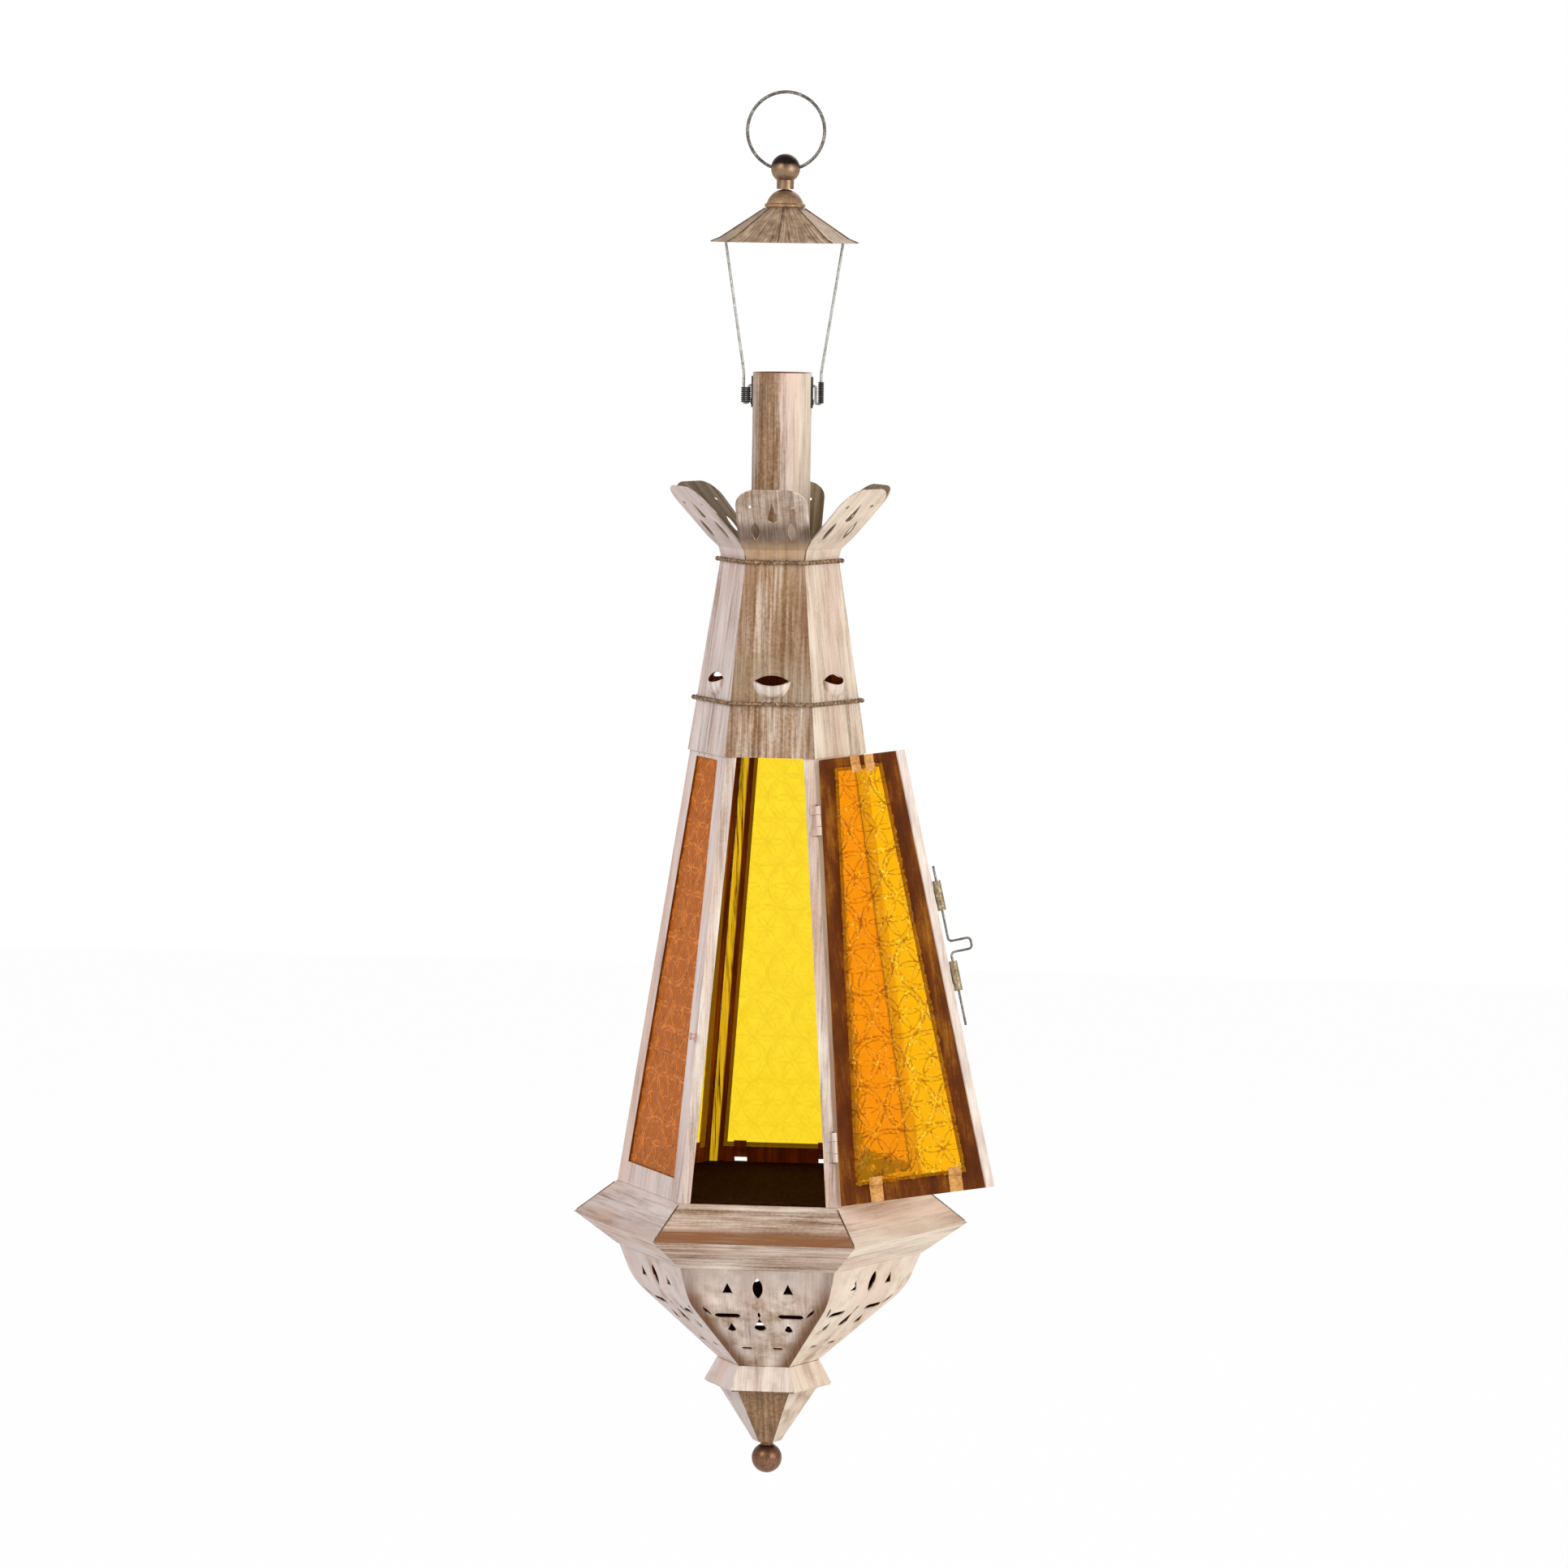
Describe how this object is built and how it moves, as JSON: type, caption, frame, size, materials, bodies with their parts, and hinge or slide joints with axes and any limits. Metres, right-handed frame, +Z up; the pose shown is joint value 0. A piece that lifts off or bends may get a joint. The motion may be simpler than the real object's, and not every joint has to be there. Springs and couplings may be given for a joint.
{
  "type": "hanging lantern",
  "caption": "Tall six-sided hanging lantern with embossed amber glass, a hinged door with a sliding wire latch, a petal crown, a chimney, a rain cap and a pierced bowl with a ball finial",
  "frame": {"origin": "where a hook bears on the inside of the hanging ring, at its top", "axes": "+Z up along the lantern's middle, -Y towards the door side, +X to the right when facing the door side"},
  "size_m": [0.1867, 0.1494, 0.6023],
  "materials": {
    "amber_glass": "amber rolled glass with a raised scroll pattern",
    "bronzed_brass": "dull bronzed",
    "bronzed_sheet": "dull bronze wash",
    "grey_wire": "dull drawn wire",
    "dark_iron": "dark, nearly black",
    "sooty_sheet": "matt dark brown",
    "bare_tube": "dull olive tan",
    "whitewashed_sheet": "streaky hand-brushed whitewash over copper brown"
  },
  "bodies": {
    "ring": {"hanging_ring": "grey_wire"},
    "canopy": {"top_ball": "bronzed_brass", "cap_dome": "bronzed_sheet", "rain_cap": "bronzed_sheet", "bail": "grey_wire", "shank_nut": "grey_wire"},
    "lantern": {"chimney": "whitewashed_sheet", "ear_left": "dark_iron", "ear_right": "dark_iron", "petal_front": "whitewashed_sheet", "petal_front_right": "whitewashed_sheet", "petal_back_right": "whitewashed_sheet", "petal_back": "whitewashed_sheet", "petal_back_left": "whitewashed_sheet", "petal_front_left": "whitewashed_sheet", "top_deck": "whitewashed_sheet", "upper_bead_band": "bronzed_brass", "hood": "whitewashed_sheet", "lower_bead_band": "bronzed_brass", "panel_front_right": "whitewashed_sheet", "panel_back_right": "whitewashed_sheet", "panel_back": "whitewashed_sheet", "panel_back_left": "whitewashed_sheet", "panel_front_left": "whitewashed_sheet", "pane_front_right": "amber_glass", "pane_back_right": "amber_glass", "pane_back": "amber_glass", "pane_back_left": "amber_glass", "pane_front_left": "amber_glass", "post_hinge_straps": "whitewashed_sheet", "hinge_pins": "grey_wire", "keeper": "whitewashed_sheet", "floor_plate": "sooty_sheet", "brim": "whitewashed_sheet", "fascia": "whitewashed_sheet", "gore_front": "whitewashed_sheet", "gore_front_right": "whitewashed_sheet", "gore_back_right": "whitewashed_sheet", "gore_back": "whitewashed_sheet", "gore_back_left": "whitewashed_sheet", "gore_front_left": "whitewashed_sheet", "collar": "whitewashed_sheet", "lower_cone": "whitewashed_sheet", "finial_ball": "bronzed_brass", "finial_nut": "grey_wire"},
    "door": {"door_frame": "whitewashed_sheet", "door_pane": "amber_glass", "door_hinge_leaves": "whitewashed_sheet", "latch_guide_upper": "bare_tube", "latch_guide_lower": "bare_tube"},
    "bolt": {"latch_bolt": "grey_wire"}
  },
  "joints": [
    {"name": "ring_swing", "type": "hinge", "parent": "ring", "child": "canopy", "pos_m": [0, 0, -0.03189], "axis": [1, 0, 0], "range_deg": [-90, 90]},
    {"name": "bail_swing", "type": "hinge", "parent": "canopy", "child": "lantern", "pos_m": [0, 0, -0.12498], "axis": [1, 0, 0], "range_deg": [-90, 90]},
    {"name": "door_hinge", "type": "hinge", "parent": "lantern", "child": "door", "pos_m": [0.03442, -0.05998, -0.47291], "axis": [-0.0767, 0.1329, 0.9882], "range_deg": [-190, 45]},
    {"name": "bolt_slide", "type": "slide", "parent": "door", "child": "bolt", "axis": [-0.226, 0.1034, 0.9686], "range_m": [0, 0.011]}
  ]
}
